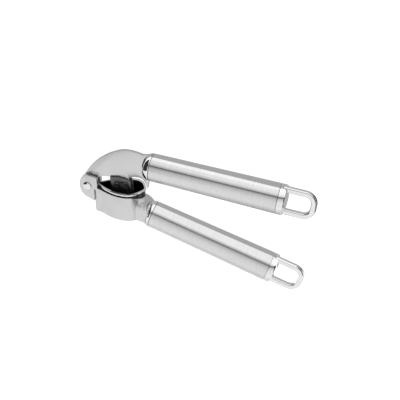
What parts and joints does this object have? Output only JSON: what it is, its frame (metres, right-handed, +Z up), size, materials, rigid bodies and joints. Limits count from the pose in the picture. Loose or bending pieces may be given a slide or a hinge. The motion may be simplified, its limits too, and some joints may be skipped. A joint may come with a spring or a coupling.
{
  "type": "garlic press",
  "caption": "Two-handled steel garlic press with a lens-shaped strainer basket, an arched plunger arm and hanging loops on round tubular handles.",
  "frame": {"origin": "centre of the underside of the press's bounding box, on the surface it lies on", "axes": "+X from the rivet end towards the handles, +Y the way the hopper's mouth faces, +Z up, along the rivet's axis"},
  "size_m": [0.183, 0.101, 0.0278],
  "materials": {
    "satin_steel": "fine satin brushing along the tube",
    "cast_steel": "fine bead-blasted satin, softly worn edges",
    "basket_steel": "smooth drawn sheet, half gloss",
    "polished_steel": "mirror polished",
    "washer_steel": "plain machined steel",
    "plunger_steel": "dark tumbled steel"
  },
  "bodies": {
    "lower_arm": {"hopper_housing": "cast_steel", "strainer_basket": "basket_steel", "pivot_rivet": "polished_steel", "pivot_washer_near": "washer_steel", "pivot_washer_far": "washer_steel", "lower_collar": "polished_steel", "lower_handle_tube": "satin_steel", "lower_tie_rod": "washer_steel", "lower_end_cap": "polished_steel", "lower_hanging_loop": "polished_steel"},
    "upper_arm": {"press_plate": "cast_steel", "plunger": "plunger_steel", "plunger_rivet_front": "washer_steel", "plunger_rivet_rear": "washer_steel", "upper_collar": "polished_steel", "upper_handle_tube": "satin_steel", "upper_tie_rod": "washer_steel", "upper_end_cap": "polished_steel", "upper_hanging_loop": "polished_steel"}
  },
  "joints": [
    {"name": "arm_hinge", "type": "hinge", "parent": "lower_arm", "child": "upper_arm", "pos_m": [-0.08526, 0.01764, 0.0139], "axis": [0, 0, 1], "range_deg": [-8, 100]}
  ]
}
